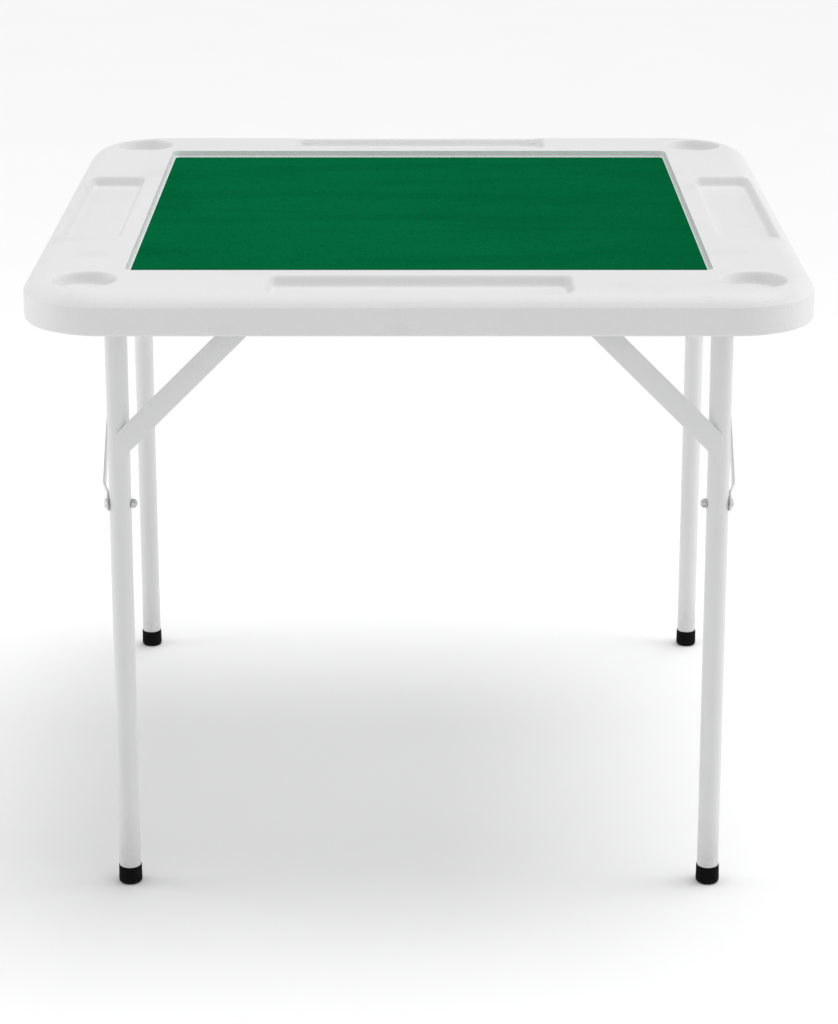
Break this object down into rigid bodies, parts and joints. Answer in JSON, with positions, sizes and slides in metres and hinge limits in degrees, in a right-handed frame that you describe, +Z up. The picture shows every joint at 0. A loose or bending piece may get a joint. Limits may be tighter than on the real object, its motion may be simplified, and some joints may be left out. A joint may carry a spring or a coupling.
{
  "type": "folding game table",
  "caption": "Square folding game table with a recessed baize playing area, corner cup wells, side trays and two tubular leg frames that fold flat under the top.",
  "frame": {"origin": "on the floor under the centre of the square top", "axes": "+Z up; +X to the right of a player seated at the front; -Y towards the front, where the narrower leg frame is"},
  "size_m": [0.88, 0.88, 0.73],
  "materials": {
    "moulded_plastic": "fine satin grain",
    "baize": "short felted nap",
    "board": "hardboard",
    "enamelled_steel": "satin powder coat",
    "rubber": "matte",
    "zinc_steel": "dull zinc plate",
    "nylon": "natural"
  },
  "bodies": {
    "root": {"top_moulding": "moulded_plastic", "playing_board": "board", "board_edging": "moulded_plastic", "baize": "baize", "side_rail_left": "enamelled_steel", "side_rail_right": "enamelled_steel", "rail_screws": "zinc_steel", "strut_bracket_left": "enamelled_steel", "strut_bracket_right": "enamelled_steel", "bracket_screws": "zinc_steel", "strut_pivot_rivets": "zinc_steel", "hinge_bush_front_left": "nylon", "hinge_bush_front_right": "nylon", "hinge_bush_back_left": "nylon", "hinge_bush_back_right": "nylon"},
    "front_frame": {"front_crossbar": "enamelled_steel", "front_leg_left": "enamelled_steel", "front_leg_right": "enamelled_steel", "front_brace_left": "enamelled_steel", "front_brace_right": "enamelled_steel", "front_foot_left": "rubber", "front_foot_right": "rubber", "front_bolt_left": "zinc_steel", "front_bolt_right": "zinc_steel", "front_nut_left": "zinc_steel", "front_nut_right": "zinc_steel", "front_hinge_rings": "zinc_steel"},
    "back_frame": {"back_crossbar": "enamelled_steel", "back_leg_left": "enamelled_steel", "back_leg_right": "enamelled_steel", "back_brace_left": "enamelled_steel", "back_brace_right": "enamelled_steel", "back_foot_left": "rubber", "back_foot_right": "rubber", "back_bolt_left": "zinc_steel", "back_bolt_right": "zinc_steel", "back_nut_left": "zinc_steel", "back_nut_right": "zinc_steel", "back_hinge_rings": "zinc_steel"},
    "front_left_lower_strut": {"lower_link_front_left": "enamelled_steel", "elbow_rivet_front_left": "zinc_steel"},
    "front_left_upper_strut": {"upper_link_front_left": "enamelled_steel", "elbow_tail_front_left": "zinc_steel"},
    "front_right_lower_strut": {"lower_link_front_right": "enamelled_steel", "elbow_rivet_front_right": "zinc_steel"},
    "front_right_upper_strut": {"upper_link_front_right": "enamelled_steel", "elbow_tail_front_right": "zinc_steel"},
    "back_left_lower_strut": {"lower_link_back_left": "enamelled_steel", "elbow_rivet_back_left": "zinc_steel"},
    "back_left_upper_strut": {"upper_link_back_left": "enamelled_steel", "elbow_tail_back_left": "zinc_steel"},
    "back_right_lower_strut": {"lower_link_back_right": "enamelled_steel", "elbow_rivet_back_right": "zinc_steel"},
    "back_right_upper_strut": {"upper_link_back_right": "enamelled_steel", "elbow_tail_back_right": "zinc_steel"}
  },
  "joints": [
    {"name": "front_fold", "type": "hinge", "parent": "root", "child": "front_frame", "pos_m": [0, -0.38, 0.696], "axis": [1, 0, 0], "range_deg": [0, 90]},
    {"name": "back_fold", "type": "hinge", "parent": "root", "child": "back_frame", "pos_m": [0, 0.38, 0.6954], "axis": [-1, 0, 0], "range_deg": [0, 90]},
    {"name": "front_left_strut_foot", "type": "hinge", "parent": "front_frame", "child": "front_left_lower_strut", "pos_m": [-0.35148, -0.38, 0.472], "axis": [1, 0, 0], "range_deg": [0, 45]},
    {"name": "front_left_strut_head", "type": "hinge", "parent": "root", "child": "front_left_upper_strut", "pos_m": [-0.35878, -0.156, 0.696], "axis": [-1, 0, 0], "range_deg": [0, 45]},
    {"name": "front_right_strut_foot", "type": "hinge", "parent": "front_frame", "child": "front_right_lower_strut", "pos_m": [0.35148, -0.38, 0.472], "axis": [1, 0, 0], "range_deg": [0, 45]},
    {"name": "front_right_strut_head", "type": "hinge", "parent": "root", "child": "front_right_upper_strut", "pos_m": [0.35878, -0.156, 0.696], "axis": [-1, 0, 0], "range_deg": [0, 45]},
    {"name": "back_left_strut_foot", "type": "hinge", "parent": "back_frame", "child": "back_left_lower_strut", "pos_m": [-0.3967, 0.38, 0.4714], "axis": [-1, 0, 0], "range_deg": [0, 45]},
    {"name": "back_left_strut_head", "type": "hinge", "parent": "root", "child": "back_left_upper_strut", "pos_m": [-0.404, 0.156, 0.6954], "axis": [1, 0, 0], "range_deg": [0, 45]},
    {"name": "back_right_strut_foot", "type": "hinge", "parent": "back_frame", "child": "back_right_lower_strut", "pos_m": [0.3967, 0.38, 0.4714], "axis": [-1, 0, 0], "range_deg": [0, 45]},
    {"name": "back_right_strut_head", "type": "hinge", "parent": "root", "child": "back_right_upper_strut", "pos_m": [0.404, 0.156, 0.6954], "axis": [1, 0, 0], "range_deg": [0, 45]}
  ],
  "couplings": [
    {"joint": "front_left_strut_foot", "follows": "front_fold", "ratio": 0.5},
    {"joint": "front_left_strut_head", "follows": "front_fold", "ratio": 0.5},
    {"joint": "front_right_strut_foot", "follows": "front_fold", "ratio": 0.5},
    {"joint": "front_right_strut_head", "follows": "front_fold", "ratio": 0.5},
    {"joint": "back_left_strut_foot", "follows": "back_fold", "ratio": 0.5},
    {"joint": "back_left_strut_head", "follows": "back_fold", "ratio": 0.5},
    {"joint": "back_right_strut_foot", "follows": "back_fold", "ratio": 0.5},
    {"joint": "back_right_strut_head", "follows": "back_fold", "ratio": 0.5}
  ]
}
